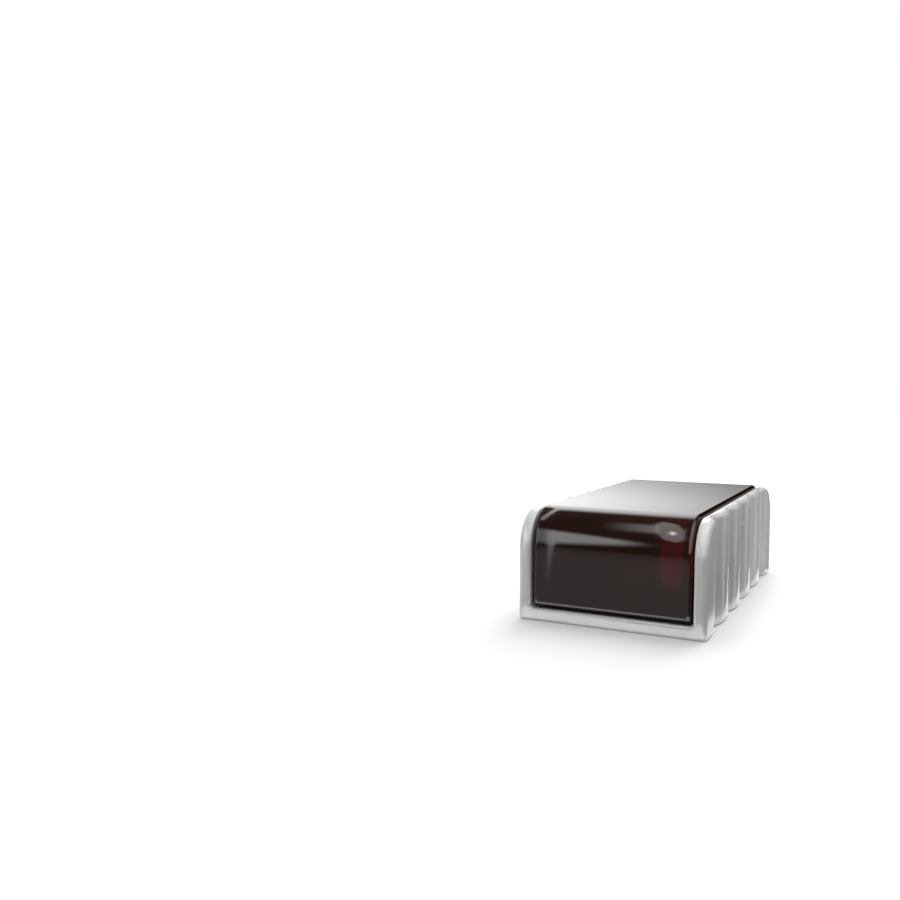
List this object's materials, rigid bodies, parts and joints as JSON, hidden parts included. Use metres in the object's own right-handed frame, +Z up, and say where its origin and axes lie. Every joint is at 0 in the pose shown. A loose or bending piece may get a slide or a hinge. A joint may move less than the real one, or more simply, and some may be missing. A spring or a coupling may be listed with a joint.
{
  "type": "rosin cake",
  "caption": "Rectangular block of bow rosin lying in an open moulded plastic holder with scalloped finger grips along its sides.",
  "frame": {"origin": "centre of the underside, on the surface that the holder stands on", "axes": "+Z up, out of the open face of the holder; +Y along the cake's length, with the end nearest the player at -Y; +X across it"},
  "size_m": [0.0302, 0.06, 0.0182],
  "materials": {
    "holder_plastic": "glossy moulded light grey-white",
    "rosin": "poured and polished very dark red-brown, faintly translucent",
    "adhesive": "matte off-white"
  },
  "bodies": {
    "root": {"holder": "holder_plastic", "rosin_block": "rosin", "adhesive_strip_left": "adhesive", "adhesive_strip_right": "adhesive"}
  },
  "joints": []
}
